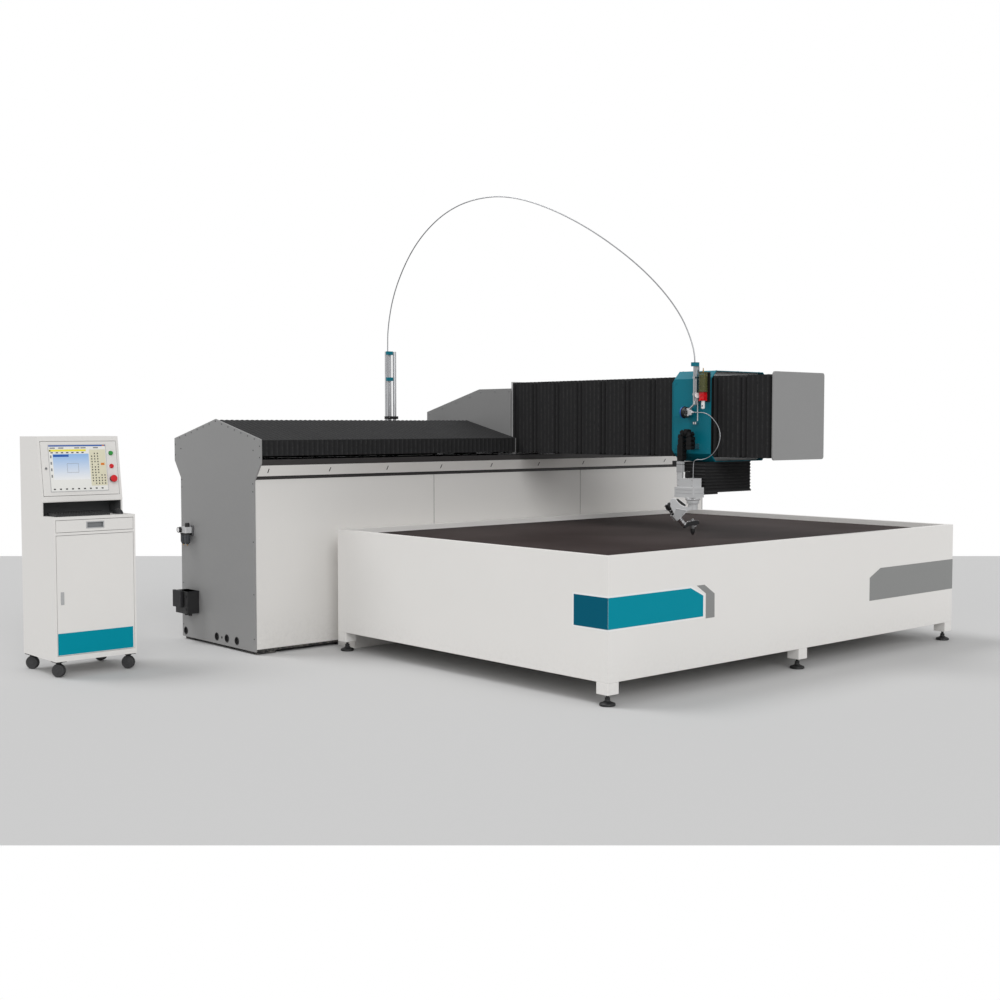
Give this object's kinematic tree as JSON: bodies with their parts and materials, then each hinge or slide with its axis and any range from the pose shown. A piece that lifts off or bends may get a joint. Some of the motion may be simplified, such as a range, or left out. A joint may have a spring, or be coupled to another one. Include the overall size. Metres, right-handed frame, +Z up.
{
  "type": "waterjet cutting machine",
  "caption": "Waterjet cutting machine: a wide catch tank, bellows-covered rails with a cantilever beam, a tilting and turning cutting head, and a control console on casters.",
  "frame": {"origin": "middle of the whole outline on the floor, between the tank, the rail housing and the console", "axes": "+X along the rails away from the console, +Y from the tank's front to the rail housing, +Z up"},
  "size_m": [6.739, 4.4149, 3.689],
  "materials": {
    "white_paint": "satin white powder coat",
    "grey_paint": "satin mid grey powder coat",
    "dark_paint": "dark grey paint",
    "slat_steel": "wet, darkened steel",
    "rail_steel": "ground steel",
    "bellows_cloth": "coated black cloth",
    "teal_paint": "satin teal powder coat",
    "aluminium": "satin aluminium",
    "stainless": "polished stainless steel",
    "hopper_plastic": "smoky olive plastic",
    "black_plastic": "matt black",
    "button_red": "gloss red and green",
    "caster_rubber": "dark grey rubber"
  },
  "bodies": {
    "machine": {"tank_shell": "white_paint", "tank_legs": "white_paint", "tank_bridge": "white_paint", "side_panels": "white_paint", "rail_covers": "white_paint", "console_cabinet": "white_paint", "end_plates": "grey_paint", "housing_frame": "dark_paint", "slat_bed": "slat_steel", "housing_rails": "rail_steel", "roof_bellows_near": "bellows_cloth", "roof_bellows_far": "bellows_cloth", "tube_mast": "aluminium", "air_unit": "aluminium", "pressure_tube_rear": "stainless", "keyboard_and_mouse": "black_plastic", "junction_box": "black_plastic", "casters": "caster_rubber"},
    "gantry": {"saddle_plates": "grey_paint", "saddle_cover": "grey_paint", "saddle_bearings": "rail_steel", "beam_core": "dark_paint", "beam_end_plate": "grey_paint", "beam_bellows_front": "bellows_cloth", "beam_bellows_rear": "bellows_cloth", "pressure_tube_front": "stainless"},
    "carriage": {"carriage_ring": "teal_paint", "carriage_bearings": "rail_steel", "tube_profile": "aluminium", "abrasive_hopper": "hopper_plastic", "swivel_fitting": "stainless", "pressure_tube_drop": "stainless", "pressure_tube_loop": "stainless", "cable_chain": "black_plastic", "lift_bellows": "bellows_cloth"},
    "head_slide": {"lift_slide": "dark_paint", "head_block": "aluminium"},
    "turning_arm": {"rotor_arm": "aluminium", "tilt_motor": "black_plastic"},
    "tilting_head": {"tilt_bracket": "black_plastic", "cutting_head": "stainless"},
    "drawer": {"console_drawer": "white_paint"},
    "door": {"console_door": "white_paint"},
    "screen_door": {"screen_panel": "white_paint", "push_buttons": "button_red"}
  },
  "joints": [
    {"name": "gantry_travel", "type": "slide", "parent": "machine", "child": "gantry", "axis": [1, 0, 0], "range_m": [-1.66, 1.74], "deforming": ["roof_bellows_near", "roof_bellows_far", "pressure_tube_rear"]},
    {"name": "carriage_travel", "type": "slide", "parent": "gantry", "child": "carriage", "axis": [0, 1, 0], "range_m": [-0.48, 1.64], "deforming": ["beam_bellows_front", "beam_bellows_rear", "pressure_tube_front"]},
    {"name": "head_lift", "type": "slide", "parent": "carriage", "child": "head_slide", "axis": [0, 0, 1], "range_m": [-0.02, 0.18], "deforming": ["lift_bellows", "pressure_tube_loop", "cable_chain"]},
    {"name": "head_turn", "type": "hinge", "parent": "head_slide", "child": "turning_arm", "pos_m": [0.6095, -1.3105, 1.15], "axis": [0, 0, 1], "range_deg": [-180, 180]},
    {"name": "head_tilt", "type": "hinge", "parent": "turning_arm", "child": "tilting_head", "pos_m": [0.6095, -1.3105, 0.915], "axis": [-0.5682, 0.328, 0.7547], "range_deg": [-90, 90]},
    {"name": "drawer_slide", "type": "slide", "parent": "machine", "child": "drawer", "axis": [0, -1, 0], "range_m": [0, 0.28]},
    {"name": "door_hinge", "type": "hinge", "parent": "machine", "child": "door", "pos_m": [-2.7895, 0.9965, 0.567], "axis": [0, 0, 1], "range_deg": [0, 100]},
    {"name": "screen_hinge", "type": "hinge", "parent": "machine", "child": "screen_door", "pos_m": [-2.7925, 1.21847, 1.4369], "axis": [0, 0.1405, 0.9901], "range_deg": [0, 100]}
  ]
}
